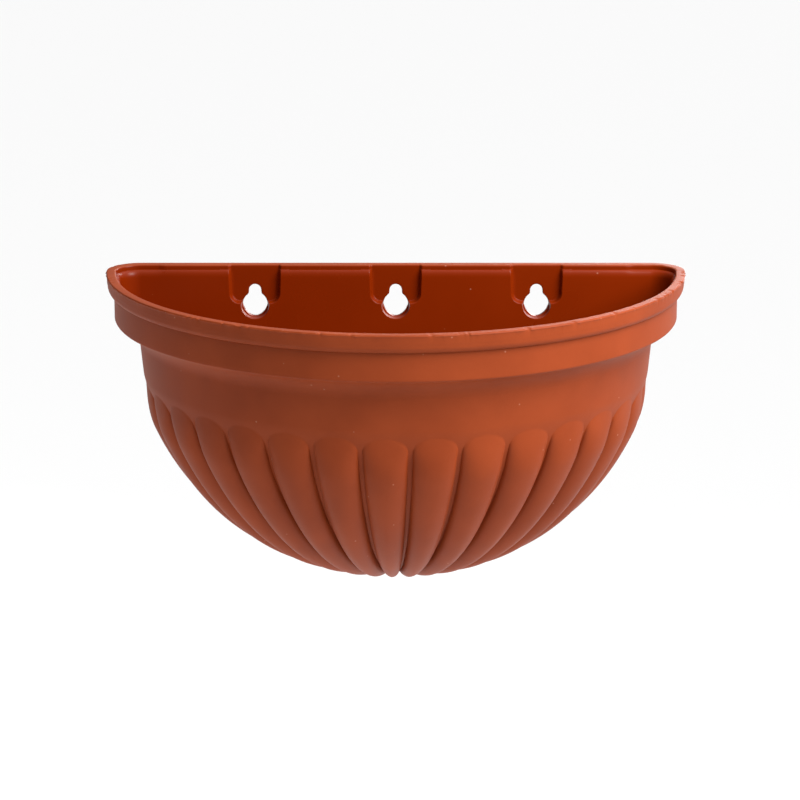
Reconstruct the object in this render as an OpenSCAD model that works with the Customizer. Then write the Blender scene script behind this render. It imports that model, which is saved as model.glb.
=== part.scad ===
/* [Rim] */
// Width of the rim from side to side
rim_w = 215; // [190:1:240]
// Distance from the wall to the upright axis of the round front
axis_gap = 7.36; // [6.2:0.01:10]
// Radius of the two back corners of the rim, seen from above
rim_corner_r = 12.5; // [10:0.5:15]
// Width of the flat lip on top of the rim
lip_w = 3.8; // [3.2:0.1:4.6]
// Height of the upper band of the rim
band_h = 6.8; // [6.2:0.1:8]
// How far the upper band stands out from the band below it
band_step = 3; // [2.6:0.1:3.4]
// Radius of the round edges of the lip
lip_round = 1; // [0.4:0.1:1.3]
// Height of the plain inner face of the rim above its ledge
ledge_top = 1.8; // [1.4:0.1:2.6]
// Height of the sloping ledge inside the rim
ledge_h = 2.7; // [1.5:0.1:3.3]
// Height of the upright lower band
lower_band_h = 10.5; // [9:0.1:12]
// Radius of the lower band's bottom edge
band_edge = 0.8; // [0.4:0.1:1.4]
// Radius of the hollow that runs in from the lower band to the neck
cove_r = 9.15; // [8:0.05:10.5]

/* [Body] */
// Height from the rim's top to the lowest point of the bowl
pot_h = 115; // [105:1:130]
// Inward lean of the neck, in degrees
neck_lean = 5.7; // [4:0.1:8]
// Depth below the rim's top where the outline of the bowl meets the line of the neck
shoulder_drop = 52.5; // [50:0.5:58]
// Fullness of the bowl's outline: 2 draws an ellipse, and more fills its shoulder
bowl_full = 2.17; // [2:0.01:2.4]
// Thickness of the moulded wall
wall = 2.4; // [1.8:0.1:2.8]

/* [Lobes] */
// Number of lobes on a full turn
lobe_count = 32; // [24:2:40]
// Turn of the middle lobe away from straight ahead, in degrees
lobe_turn = -2.1; // [-4:0.1:4]
// Height of a lobe above the groove beside it
lobe_h = 3.5; // [2:0.1:4.2]
// Share of a lobe's own width that limits its height near the bottom
lobe_slim = 0.4; // [0.25:0.01:0.45]
// Angle of the narrow flat groove between two lobes, in degrees
groove_a = 0.7; // [0.5:0.1:1.6]
// Depth of the tops of the arches below the rim's top
arch_top = 40.5; // [38:0.1:46]
// Height of the arched top of a lobe
arch_h = 6.5; // [5:0.1:9]
// Fullness of an arch: 2 draws a round top, and more fills its corners
arch_full = 2.7; // [2:0.1:3.4]
// Height over which the grooves sink to their full depth
groove_run = 16; // [12:0.5:22]
// Distance from the joint line of the neck down to the tops of the arches
plain_strip = 3.7; // [2:0.1:5]

/* [Hangers] */
// Distance from one keyhole to the next
hanger_pitch = 52.7; // [45:0.1:60]
// Depth of a keyhole's round entry below the rim's top
hanger_drop = 15.2; // [14:0.1:18]
// Radius of the keyhole's round entry
entry_r = 4.65; // [4.2:0.05:5.2]
// Radius of the keyhole's narrow end
slot_r = 2.45; // [2.2:0.05:2.9]
// Rise from the entry to the narrow end
slot_rise = 5.3; // [4.5:0.1:6]
// Width of the sunk pocket round a keyhole, at its floor
pocket_w = 16.7; // [14:0.1:20]
// Depth of the pocket's lower edge below the rim's top
pocket_drop = 13.7; // [12:0.1:16]
// Radius of the pocket's lower corners
pocket_corner = 2.8; // [1.5:0.1:5]
// Width of the sloping border of a pocket
pocket_slope = 1.1; // [0.8:0.1:2]
// Width of the pocket's floor left round the entry
entry_rim = 0.3; // [0.2:0.1:0.9]
// Thickness of the pad that a keyhole goes through
pad_t = 2.8; // [2.2:0.1:3.4]

/* [Drain] */
// Radius of a drain hole in the bottom
drain_r = 2; // [1.5:0.1:3]
// Distance of the drain holes from the axis of the round front
drain_out = 14; // [10:0.5:20]
// Angle of the two drain holes on each side of straight ahead, in degrees
drain_turn = 45; // [30:1:60]

/* [Hidden] */
$fn = 96;
over = 1;
terracotta = [0.66, 0.27, 0.13];
shade = [0.58, 0.22, 0.11];

// Plan of the rim: one front arc that runs smoothly into two back corners.
half_w = rim_w / 2;
corner_x = half_w - rim_corner_r;
corner_back = rim_corner_r - axis_gap;
front_r = rim_corner_r + sqrt(pow(corner_x, 2) + pow(corner_back, 2));
corner_turn = atan2(corner_back, corner_x);

// Levels are counted down from the rim's top, and depths forward from the wall.
panel_back = band_step;
panel_front = band_step + wall;
pad_back = lip_w - pad_t;
band_r = front_r - band_step;
lower_edge = band_h + lower_band_h;
neck_r = band_r - cove_r * cos(neck_lean);
neck_top = lower_edge + cove_r - cove_r * sin(neck_lean);
body_corner = axis_gap - panel_back;

// The bowl is drawn in rays from the middle of the mouth, turned down from level. Its width is
// the one at the mouth that its outline would have if it ran on above the neck.
shoulder_r = neck_r - (shoulder_drop - neck_top) * tan(neck_lean);
bowl_w = shoulder_r / pow(1 - pow(shoulder_drop / pot_h, bowl_full), 1 / bowl_full);
neck_mid = neck_r + neck_top * tan(neck_lean);
pitch_a = 360 / lobe_count;
lobe_half = (pitch_a - groove_a) / 2;
crest_blend = 1.5;
bottom_fade = 12;
inner_share = 0.7;

// Distance along a ray to the straight line of the neck.
function neck_ray(t) = neck_mid / (cos(t) + sin(t) * tan(neck_lean));
// The smaller of two lengths, with a round blend of width k where they cross.
function soft_min(a, b, k) = min(a, b) - pow(max(k - abs(a - b), 0), 2) / (4 * k);
function clamp(x) = max(0, min(1, x));
function ease(x) = clamp(x) * clamp(x) * (3 - 2 * clamp(x));
// Distance along a ray to the full outline of the bowl, and to its crests, which blend with the neck.
function bowl_ray(t) =
    pow(pow(sin(t) / pot_h, bowl_full) + pow(max(0, cos(t)) / bowl_w, bowl_full), -1 / bowl_full);
function crest_ray(t) = soft_min(bowl_ray(t), neck_ray(t), crest_blend);
function crest_out(t) = crest_ray(t) * cos(t);
function crest_depth(t) = crest_ray(t) * sin(t);
// Lobes get lower where they get narrow, and die out at the bottom point.
function relief(t) =
    soft_min(lobe_h, lobe_slim * crest_out(t) * pitch_a * PI / 180, 1)
    * ease(crest_out(t) / bottom_fade);
arch_foot = arch_top + arch_h;
neck_end = arch_top - plain_strip;
// The grooves start at the neck's joint line and sink to their full depth further down.
function groove_share(t) = ease((crest_depth(t) - neck_end) / groove_run);
function floor_ray(t) = crest_ray(t) - relief(t) * groove_share(t);

// Place across a lobe, from -1 to 1, at an angle seen from above.
function across(a) =
    let (k = round((a - lobe_turn) / pitch_a), d = a - lobe_turn - k * pitch_a) d / lobe_half;
// Place up the arched top of a lobe, from 0 where it runs straight to 1 at its top.
function up_arch(depth) = max(0, (arch_foot - depth) / arch_h);
lobe_full = 2.2;
function outer_lobe(q) = q >= 1 ? 0 : sqrt(1 - pow(q, lobe_full));
function inner_lobe(q) = q >= 1 ? 0 : inner_share * (1 - q * q);
function arch_norm(x, y) = pow(pow(abs(x), arch_full) + pow(y, arch_full), 1 / arch_full);
function lobe(a, t, inside) =
    let (q = arch_norm(across(a), up_arch(crest_depth(t))))
    inside ? inner_lobe(q) : outer_lobe(q);

// Point of the skin in the plane at an angle, as a distance out and a height.
function skin_2d(a, t, inside) =
    let (p = floor_ray(t) + (crest_ray(t) - floor_ray(t)) * lobe(a, t, inside))
    [p * cos(t), -p * sin(t)];
// Direction in which the wall has its thickness: level at the neck, along the ray further down.
dir_run = 30;
function wall_dir(t) =
    let (b = t * ease((t - top_ray) / dir_run)) [cos(b), -sin(b)];

// Ray that meets the neck or the groove's floor at a depth: a few corrections are enough.
function ray_at(depth, t = 20, n = 14) =
    n == 0 ? t : ray_at(depth, asin(depth / floor_ray(t)), n - 1);
top_ray = ray_at(neck_end);
foot_gap = 3;
foot_ray = ray_at(arch_foot + foot_gap);

// Rows of the bowl. The first ones follow the arch over each lobe, and the others are level.
strip_rows = 3;
arch_steps = [0, 20, 40, 60, 78, 90];
row_gap = 0.35;
ball_rows = 13;
arch_rows = strip_rows + len(arch_steps);
row_count = arch_rows + ball_rows;
function arch_rise(x) = pow(max(0, 1 - pow(abs(x), arch_full)), 1 / arch_full);
function arch_depth(a, up) = arch_foot - arch_h * up * arch_rise(across(a));
function row_ray(i, a) =
    i < strip_rows ? ray_at(neck_end + (arch_depth(a, 1) - neck_end) * i / strip_rows) :
    i < arch_rows ?
        let (k = i - strip_rows) ray_at(arch_depth(a, cos(arch_steps[k])) + k * row_gap) :
    foot_ray + (90 - foot_ray) * (i - arch_rows) / (ball_rows - 1);

// Angles of the columns: close together at the steep sides of each lobe.
lobe_steps = [-90, -60, -30, 0, 30, 60, 90];
side_gap = 0.6;
lobe_angles = [for (k = [-ceil(lobe_count / 4) : ceil(lobe_count / 4)], s = lobe_steps)
               let (a = lobe_turn + k * pitch_a + lobe_half * sin(s))
               if (abs(a) < 90 - side_gap) a];
corner_steps = 4;
corner_turns = [for (i = [1 : corner_steps]) i * 90 / corner_steps];

function around(p, a) = [p[0] * sin(a), -axis_gap - p[0] * cos(a), p[1]];
// The back corner of the bowl: its side outline, drawn inward as it turns to the back.
function bowl_corner(i, turn, inside) =
    let (t = row_ray(i, 90), r = body_corner - (inside ? wall : 0), share = turn / 90,
         side = skin_2d(90, t, inside) * (1 - share) + skin_2d(90, t, false) * share,
         p = side - (body_corner - r * cos(turn)) * wall_dir(t))
    [p[0], -axis_gap + r * sin(turn), p[1]];
function flip(p) = [-p[0], p[1], p[2]];
function backward(list) = [for (i = [len(list) - 1 : -1 : 0]) list[i]];

// One row of the bowl's skin, from the left back corner round the front to the right one.
function bowl_row(i, inside) =
    let (right = [for (turn = corner_turns) bowl_corner(i, turn, inside)])
    concat(
        [for (p = backward(right)) flip(p)],
        [for (a = concat([-90], lobe_angles, [90]))
            let (t = row_ray(i, a), p = skin_2d(a, t, inside))
            around(p - (inside ? wall : 0) * wall_dir(t), a)],
        right);

// One level row of the neck or rim: a front arc of radius r, corners of radius c and
// short straight ends to the panel, with its back face at a depth.
plain_steps = 40;
function plain_row(r, c, depth, back, end_x) =
    let (turn = asin((back + c - axis_gap) / (r - c)), x = (r - c) * cos(turn),
         right = concat(
             [for (i = [1 : corner_steps])
                 let (b = -turn + (90 + turn) * i / corner_steps)
                 [x + c * cos(b), -back - c + c * sin(b), -depth]],
             end_x < x - 0.01 ? [[end_x, -back, -depth]] : []))
    concat(
        [for (p = backward(right)) flip(p)],
        [for (i = [-plain_steps / 2 : plain_steps / 2])
            around([r, -depth], i * (90 - turn) * 2 / plain_steps)],
        right);

// A closed shell between an outer and an inner skin, each a list of rows from the top.
// Where it ends in a bottom point, the last row folds up and its two corners are one.
module shell(outer, inner, pointed) {
    cols = len(outer[0]);
    last = len(outer) - 1;
    half = len(outer) * cols;
    fold = function (j)
        j <= corner_steps ? j :
        j < cols - 1 - corner_steps ? corner_steps : cols - 1 - j;
    at = function (i, j, s) s * half + i * cols + (pointed && i == last ? fold(j) : j);
    cells = [for (i = [0 : last - 1], j = [0 : cols - 2]) [i, j]];
    quads = concat(
        [for (c = cells)
            let (i = c[0], j = c[1]) [at(i, j, 0), at(i, j + 1, 0), at(i + 1, j + 1, 0), at(i + 1, j, 0)]],
        [for (c = cells)
            let (i = c[0], j = c[1]) [at(i, j, 1), at(i + 1, j, 1), at(i + 1, j + 1, 1), at(i, j + 1, 1)]],
        [for (j = [0 : cols - 2]) [at(0, j, 0), at(0, j, 1), at(0, j + 1, 1), at(0, j + 1, 0)]],
        [for (i = [0 : last - 1]) [at(i, 0, 0), at(i + 1, 0, 0), at(i + 1, 0, 1), at(i, 0, 1)]],
        [for (i = [0 : last - 1])
            let (j = cols - 1) [at(i, j, 0), at(i, j, 1), at(i + 1, j, 1), at(i + 1, j, 0)]],
        pointed ? [] : [for (j = [0 : cols - 2])
            [at(last, j, 0), at(last, j + 1, 0), at(last, j + 1, 1), at(last, j, 1)]]);
    faces = [for (q = quads, f = [[q[0], q[1], q[2]], [q[0], q[2], q[3]]])
             if (f[0] != f[1] && f[1] != f[2] && f[2] != f[0]) f];
    polyhedron(points = [for (skin = [outer, inner], row = skin, p = row) p], faces = faces);
}

// The row frame has its origin at the middle keyhole's entry, on the back of its pad.
module in_place() {
    translate([0, pad_back, hanger_drop]) children();
}

drain_reach = 15;

module fluted_bowl() {
    color(terracotta) in_place() difference() {
        shell([for (i = [0 : row_count - 1]) bowl_row(i, false)],
              [for (i = [0 : row_count - 1]) bowl_row(i, true)], true);
        for (side = [-1, 1])
            translate(around([drain_out, -pot_h - over], side * drain_turn))
                cylinder(r = drain_r, h = drain_reach);
    }
}

// Outline of the neck's cone at a depth.
function neck_at(depth) = neck_r - (depth - neck_top) * tan(neck_lean);
function neck_row(depth, inside) =
    let (t = inside ? wall : 0)
    plain_row(neck_at(depth) - t, body_corner - t, depth, panel_back + t, neck_r);

module neck_band() {
    color(terracotta) in_place()
        shell([for (d = [neck_top, neck_end]) neck_row(d, false)],
              [for (d = [neck_top, neck_end]) neck_row(d, true)], false);
}

// Rows of the upright lower band, of its bottom edge and of the hollow that turns in under it to
// the neck's line. The corner gets smaller as the rows run in.
edge_rows = 3;
cove_rows = 6;
cove_tab = 1;
cove_end_x = neck_r - body_corner - cove_tab;
edge_turn = asin(band_edge / cove_r);
inner_cove_r = cove_r + wall;
inner_turn = asin(wall / inner_cove_r);
function cove_turn(from, i) = from + (90 - neck_lean - from) * i / cove_rows;
function cove_point(turn, r) = [band_r - r * sin(turn), lower_edge + cove_r - r * cos(turn)];
function edge_point(turn) =
    [band_r - band_edge * (1 - cos(turn)), lower_edge - band_edge * (1 - sin(turn))];
function cove_corner(x) =
    let (share = clamp((band_r - x) / (band_r - neck_r)))
    rim_corner_r - band_step + (body_corner - rim_corner_r + band_step) * share;
inner_start = cove_point(inner_turn, inner_cove_r)[1];
cove_outer = concat(
    [[band_r, band_h]],
    [for (i = [0 : edge_rows - 1]) edge_point(90 * i / edge_rows)],
    [for (i = [0 : cove_rows]) cove_point(cove_turn(edge_turn, i), cove_r)]);
cove_inner = concat(
    [for (i = [0 : edge_rows])
        [band_r - wall, band_h + (inner_start - band_h) * i / (edge_rows + 1)]],
    [for (i = [0 : cove_rows - 1]) cove_point(cove_turn(inner_turn, i), inner_cove_r)],
    [[neck_r - wall, neck_top]]);

module rim_cove() {
    color(terracotta) in_place()
        shell([for (p = cove_outer)
                  plain_row(p[0], cove_corner(p[0]), p[1], panel_back, cove_end_x)],
              [for (i = [0 : len(cove_inner) - 1])
                  let (p = cove_inner[i], c = cove_corner(cove_outer[i][0]) - wall)
                  plain_row(p[0], c, p[1], panel_front, cove_end_x)], false);
}

// Section of the rim's upper band: distance in from its outer face, and height.
arc_steps = 6;
function arc(center, r, from, to, n = arc_steps) =
    [for (i = [0 : n]) let (b = from + (to - from) * i / n) center + [r[0] * cos(b), r[1] * sin(b)]];
rim_section = concat(
    arc([lip_round, -lip_round], [lip_round, lip_round], 180, 90),
    arc([lip_w - lip_round, -lip_round], [lip_round, lip_round], 90, 0),
    arc([lip_w, -ledge_top - ledge_h], [panel_front - lip_w, ledge_h], 90, 0),
    [[panel_front, -band_h]],
    arc([band_step, band_step - band_h], [band_step, band_step], 270, 180));

// The section at a radius r of its outer face, ready to be turned about an axis.
module rim_profile(r) {
    polygon([for (p = rim_section) [r - p[0], p[1]]]);
}

module rim_front() {
    color(terracotta) in_place() translate([0, -axis_gap, 0]) rotate([0, 0, 180 + corner_turn])
        rotate_extrude(angle = 180 - 2 * corner_turn) rim_profile(front_r);
}

// The straight back of the rim and its two corners, which meet the ends of the front.
module rim_back() {
    color(terracotta) in_place() difference() {
        union() {
            for (side = [0, 1]) mirror([side, 0, 0])
                translate([-corner_x, -rim_corner_r, 0]) rotate([0, 0, 90])
                    rotate_extrude(angle = 90 + corner_turn) rim_profile(rim_corner_r);
            translate([-corner_x, 0, 0]) rotate([90, 0, 90])
                linear_extrude(2 * corner_x) rim_profile(0);
        }
        for (k = [-1, 0, 1]) translate([k * hanger_pitch, 0, 0]) pad_block();
    }
}

// Upright plate between two depths, drawn with x to the right and height upward.
module plate(from, to) {
    translate([0, -from, 0]) rotate([90, 0, 0]) linear_extrude(to - from) children();
}

// Outline of the pocket's floor, grown by a border: a tongue with round lower corners.
module tongue(grow) {
    w = pocket_w / 2 + grow;
    r = pocket_corner + grow;
    low = pocket_drop + grow;
    for (side = [-1, 1])
        translate([side * (w - r), r - low]) circle(r, $fn = 32);
    translate([r - w, -low]) square([2 * (w - r), r]);
    translate([-w, r - low]) square([2 * w, low - r - ledge_top]);
}

// Block of a hanger pad, before its pocket and keyhole are cut.
module pad_block() {
    plate(pad_back, panel_front) tongue(wall);
    plate(pad_back, panel_front)
        translate([0, -hanger_drop]) circle(entry_r + entry_rim + wall);
}

module keyhole() {
    rotate([90, 0, 0]) {
        cylinder(r = entry_r, h = panel_front + over);
        translate([0, slot_rise, 0]) cylinder(r = slot_r, h = panel_front + over);
        translate([-slot_r, 0, 0]) cube([2 * slot_r, slot_rise, panel_front + over]);
    }
}

// The pocket's border slopes out from its floor to the face of the panel.
module pocket() {
    sliver = 0.01;
    steep = pocket_slope / (panel_front - lip_w);
    hull() {
        plate(lip_w, lip_w + sliver) pocket_outline(0);
        plate(panel_front + over - sliver, panel_front + over)
            pocket_outline(pocket_slope + steep * over);
    }
    translate([0, -lip_w, -hanger_drop]) rotate([90, 0, 0])
        cylinder(r1 = entry_r + entry_rim, r2 = entry_r + entry_rim + steep, h = panel_front - lip_w + over);
}

// The pocket is open at its top, so its outline runs on above the pad.
module pocket_outline(grow) {
    tongue(grow);
    w = pocket_w / 2 + grow;
    translate([-w, -ledge_top - over]) square([2 * w, 2 * over]);
}

module hanger(k) {
    color(shade) in_place() translate([k * hanger_pitch, 0, 0]) difference() {
        pad_block();
        pocket();
        translate([0, 0, -hanger_drop]) keyhole();
    }
}

module hanger_left() {
    hanger(-1);
}

module hanger_middle() {
    hanger(0);
}

module hanger_right() {
    hanger(1);
}

// Side outline of the flat panel: up the bowl's back edge, the neck and the rim.
panel_side = [for (i = [0 : row_count - 1]) let (p = bowl_corner(i, 90, false)) [p[0], p[2]]];

module back_panel() {
    neck_corner = [neck_r - body_corner, -neck_top];
    side = concat([[cove_end_x, -band_h], [cove_end_x, -neck_top], neck_corner], panel_side);
    color(shade) in_place() difference() {
        plate(panel_back, panel_front)
            polygon(concat(side, [for (p = backward(side)) if (p[0] > 0.001) [-p[0], p[1]]]));
        for (k = [-1, 0, 1]) translate([k * hanger_pitch, 0, 0]) {
            plate(panel_back - over, panel_front + over) tongue(wall);
            plate(panel_back - over, panel_front + over)
                translate([0, -hanger_drop]) circle(entry_r + entry_rim + wall);
        }
    }
}

fluted_bowl();
neck_band();
rim_cove();
rim_front();
rim_back();
back_panel();
hanger_left();
hanger_middle();
hanger_right();
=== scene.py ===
# %% [markdown]
# # A half-round wall planter
# The real planter is one thin moulding in terracotta-coloured plastic: a D-shaped rim, a plain
# neck, a half-bowl of convex lobes and a flat back with three keyholes. The frame already holds
# it as plain CAD solids at the right size. This lesson dresses each region with a finer mesh in
# the same place, and gives it its finish, light and camera.

# %% Load the frame
import math
import bmesh
import bpy
import numpy as np
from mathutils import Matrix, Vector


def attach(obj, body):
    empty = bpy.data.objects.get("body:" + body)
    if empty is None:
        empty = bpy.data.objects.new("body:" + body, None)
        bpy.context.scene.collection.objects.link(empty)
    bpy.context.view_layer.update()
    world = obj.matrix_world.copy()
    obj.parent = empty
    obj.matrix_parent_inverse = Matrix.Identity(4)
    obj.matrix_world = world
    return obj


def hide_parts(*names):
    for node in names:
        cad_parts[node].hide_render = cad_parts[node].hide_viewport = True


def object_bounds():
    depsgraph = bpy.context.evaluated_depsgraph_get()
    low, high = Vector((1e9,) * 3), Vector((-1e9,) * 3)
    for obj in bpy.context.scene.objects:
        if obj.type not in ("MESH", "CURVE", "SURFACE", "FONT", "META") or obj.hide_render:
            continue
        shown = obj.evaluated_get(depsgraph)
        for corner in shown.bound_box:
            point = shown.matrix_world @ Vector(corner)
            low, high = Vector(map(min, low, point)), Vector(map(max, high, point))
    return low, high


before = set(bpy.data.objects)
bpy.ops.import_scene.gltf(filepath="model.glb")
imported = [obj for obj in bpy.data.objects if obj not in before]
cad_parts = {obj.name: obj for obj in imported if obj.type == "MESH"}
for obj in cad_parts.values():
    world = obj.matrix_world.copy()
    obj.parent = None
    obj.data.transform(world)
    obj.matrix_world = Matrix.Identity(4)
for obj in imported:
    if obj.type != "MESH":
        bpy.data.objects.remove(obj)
cad_low, cad_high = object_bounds()
print("CAD box in mm:", [round(1000 * (h - l), 2) for l, h in zip(cad_low, cad_high)])

# %% [markdown]
# ## One drawing frame for all the pieces
# The planter is drawn in millimetres from the place that a maker would measure from: the wall
# is y = 0, the top of the rim is z = 0, the front is towards -y. Each mesh is moved into the
# row's frame when it is made, with the wall plane and the rim's top read from the frame.

# %% From drawing millimetres to the row's metres
MM = 0.001
WALL_Y = cad_high.y
TOP_Z = cad_high.z


def to_row(points):
    """Points in drawing millimetres, as an array of metres in the row's frame."""
    return np.asarray(points, float).reshape(-1, 3) * MM + (0, WALL_Y, TOP_Z)


print("the wall plane is y =", round(WALL_Y, 4), "and the rim's top is z =", round(TOP_Z, 4), "in metres")

# %% [markdown]
# ## Meshes from rows of points
# A moulded wall is everywhere one sheet with an outside and an inside, so each region can be a
# grid: rows of points that follow its form, joined by quads. The same maker then shades it
# smooth, keeps its real edges sharp, and hides the CAD solids it stands for. The
# points of the inside come last, so a count tells the two finishes apart.

# %% Make a grid and a piece
SHARP_EDGE = math.radians(40)


def grid_faces(rows, cols, wrap=False, flip=False):
    """Quads over a grid of points that is stored row by row, optionally closed along its rows."""
    faces = []
    for i in range(rows - 1):
        for j in range(cols if wrap else cols - 1):
            k = (j + 1) % cols
            quad = (i * cols + j, i * cols + k, (i + 1) * cols + k, (i + 1) * cols + j)
            faces.append(quad[::-1] if flip else quad)
    return faces


def make_piece(name, points, faces, nodes, inner_from=None):
    """A smooth-shaded mesh that stands for some CAD nodes. Points from a given number on lie on
    the other side of the wall, and their faces take the second finish."""
    mesh = bpy.data.meshes.new(name)
    mesh.from_pydata(to_row(points).tolist(), [], faces)
    if inner_from is not None:
        for face in mesh.polygons:
            face.material_index = int(min(face.vertices) >= inner_from)
    mesh.shade_smooth()
    mesh.set_sharp_from_angle(angle=SHARP_EDGE)
    piece = bpy.data.objects.new(name, mesh)
    bpy.context.scene.collection.objects.link(piece)
    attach(piece, "root")
    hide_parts(*nodes)
    print(name, "has", len(mesh.vertices), "points and", len(mesh.polygons), "faces")
    return piece


# %% [markdown]
# ## The plan of the rim
# Seen from above, the rim is a D: one round front that runs smoothly into two back corners and
# a straight back. The centre of the front arc lies a little in front of the wall, and each
# corner circle touches the front arc from inside, so the two meet without a kink.

# %% Sizes of the D
RIM_W = 215.0
AXIS_GAP = 7.36     # from the wall to the centre of the front arc
CORNER_R = 12.5
CORNER_X = RIM_W / 2 - CORNER_R
CORNER_BACK = CORNER_R - AXIS_GAP
FRONT_R = CORNER_R + math.hypot(CORNER_X, CORNER_BACK)
print("front radius", round(FRONT_R, 2), "depth", round(AXIS_GAP + FRONT_R, 2))


def spread(start, end, count):
    """Even steps that leave out the end, so that neighbouring stretches share no point."""
    return [start + (end - start) * k / count for k in range(count)]


def rim_path(front_steps, corner_steps, back_steps):
    """Points round the rim's outer face and the outward direction at each, from the left corner."""
    turn = math.atan2(CORNER_BACK, CORNER_X)
    places, outs = [], []
    for a in spread(turn - math.pi / 2, math.pi / 2 - turn, front_steps):
        outs.append((math.sin(a), -math.cos(a)))
        places.append((FRONT_R * math.sin(a), -AXIS_GAP - FRONT_R * math.cos(a)))
    for b in spread(-turn, math.pi / 2, corner_steps):
        outs.append((math.cos(b), math.sin(b)))
        places.append((CORNER_X + CORNER_R * math.cos(b), -CORNER_R + CORNER_R * math.sin(b)))
    for x in spread(CORNER_X, -CORNER_X, back_steps):
        outs.append((0.0, 1.0))
        places.append((x, 0.0))
    for b in spread(math.pi / 2, math.pi + turn, corner_steps):
        outs.append((math.cos(b), math.sin(b)))
        places.append((-CORNER_X + CORNER_R * math.cos(b), -CORNER_R + CORNER_R * math.sin(b)))
    return np.array(places), np.array(outs)


# %% [markdown]
# ## The section of the lip and the upper band
# The rim's upper band is a flat lip with rounded edges, a face with a little draft and a round
# underside. A curve with a bevel would give the plain shape, but the lip needs ripples, chips
# and channels along its way. So its section is a list of points, each with its distance in from
# the outer face and its height, and it will be swept along the D as a grid.

# %% The section of the upper band
LIP_W = 3.8
LIP_ROUND = 0.7     # round of the lip's inner edge
EDGE_R = 0.35       # round of its outer edge
BAND_H = 6.8
BAND_DRAFT = 0.3
BAND_STEP = 3.0     # how far the lower band steps in
SEAM_Z = -1.5       # where the plate and the lower band take over inside
SEAM_STEP = 0.5
RIDGE = 0.16        # the ridge of the parting line, just under the lip's outer edge
RIDGE_SIDE = 0.4    # share of it that its two shoulders stand out
RIDGE_UNDER, RIDGE_OVER = 0.17, 0.12    # from the parting line to each shoulder
SPLIT_Z = -0.5
FACE_LOW = (BAND_DRAFT / 2, -3.2)       # inset and height of two points of the band's face
FACE_HIGH = (0.02, -1.2)
ROUND_STEPS = 8
BELLY_STEPS = 12
BELLY = BAND_STEP - BAND_DRAFT


def arc(centre, radii, start, end, steps):
    """Points of an arc between two angles in degrees, both ends included."""
    angles = np.radians(np.linspace(start, end, steps + 1))
    return [(centre[0] + radii[0] * math.cos(b), centre[1] + radii[1] * math.sin(b)) for b in angles]


shoulder = -RIDGE_SIDE * RIDGE
face_side = [FACE_LOW, FACE_HIGH]
face_side += [(shoulder, SPLIT_Z - RIDGE_UNDER), (-RIDGE, SPLIT_Z), (shoulder, SPLIT_Z + RIDGE_OVER)]
outer_round = arc((EDGE_R, -EDGE_R), (EDGE_R, EDGE_R), 170, 90, ROUND_STEPS)
inner_round = arc((LIP_W - LIP_ROUND, -LIP_ROUND), (LIP_ROUND, LIP_ROUND), 90, 0, ROUND_STEPS)
inner_side = inner_round + [(LIP_W, SEAM_Z)]
underside = [(LIP_W - SEAM_STEP, SEAM_Z), (LIP_W - SEAM_STEP, -BAND_H), (BAND_STEP, -BAND_H)]
underside += arc((BAND_STEP, BELLY - BAND_H), (BELLY, BELLY), 265, 180, BELLY_STEPS)
rim_section = face_side + outer_round + [(LIP_W / 2, 0)] + inner_side + underside
print("the section of the upper band has", len(rim_section), "points")

# %% [markdown]
# ## The straight back of the rim
# Along the back the lip is half a millimetre wider than round the front. Above each keyhole the
# sunk pocket runs on upward through the rim's inner face as a shallow open channel, because the
# mould's core is drawn out that way. Neither needs new faces: both are a shift of the inner
# points of the section, which depends on the place along the back.

# %% How far the rim's inner side shifts
BACK_LIP = 4.3
BACK_LIP_END = 89.0
BACK_LIP_FADE = 3.0
HANGERS = (-1, 0, 1)
HANGER_PITCH = 52.7
POCKET_FLOOR = 3.4      # from the wall plane
POCKET_W = 16.7
POCKET_DROP = 13.7
POCKET_SLOPE = 1.1
POCKET_FLARE = 0.5
FACING_BACK = 0.99      # outward direction toward the wall, from which the rim counts as straight


def ease(t):
    """A smooth step from 0 to 1."""
    t = np.clip(t, 0, 1)
    return t * t * (3 - 2 * t)


def pocket_half(z):
    """Half the width of a pocket's floor, which flares a little toward the top."""
    return POCKET_W / 2 + POCKET_FLARE * np.clip(1 + z / POCKET_DROP, 0, 1)


def back_lip(x):
    """Width of the lip along the straight back."""
    return LIP_W + (BACK_LIP - LIP_W) * ease((BACK_LIP_END - np.abs(x)) / BACK_LIP_FADE)


def back_shift(x, toward_wall):
    """How much deeper the rim's inner side lies at the straight back, less in the channels."""
    gap = np.min([np.abs(x - k * HANGER_PITCH) for k in HANGERS], axis=0) - pocket_half(0)
    channel = 1 - ease(gap / POCKET_SLOPE)
    return (toward_wall > FACING_BACK) * (back_lip(x) - LIP_W - channel * (BACK_LIP - POCKET_FLOOR))


print("the channels over the pockets are", round(2 * float(pocket_half(0)), 2), "mm wide")

# %% [markdown]
# ## The parting line
# Where the two halves of the mould meet, the real lip carries a fine ridge on its outer edge,
# with small nicks where a little plastic came through and small chips where it broke away. They
# could be painted as a bump, but they break the outline, so they are moved points. The front
# face is set in a little to make room for them. Chips stay at the front, where hands and light
# reach the edge.

# %% Ripples, nicks and chips along the rim
RIM_FRONT_STEPS, RIM_CORNER_STEPS, RIM_BACK_STEPS = 1100, 28, 640
FACE_INSET = 0.35
RIPPLE = 0.03
RIPPLE_FINE, RIPPLE_SLOW = 0.9, 0.23    # radians per millimetre
NICKS = 170
NICK_W = (0.3, 1.0)
NICK_H = 0.35
CHIP_GAIN = 1.5
CHIP_DEEP = 0.35


def flash(distance, nicks):
    """How far the parting ridge is pushed out along the rim: fine ripples and a few nicks."""
    height = RIPPLE * np.sin(distance * RIPPLE_FINE) * np.sin(distance * RIPPLE_SLOW + 1.0)
    bumps = np.zeros_like(distance)
    for place, width, tall in nicks:
        bumps += tall * np.exp(-(((distance - place) / width) ** 2))
    return height + bumps


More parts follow.
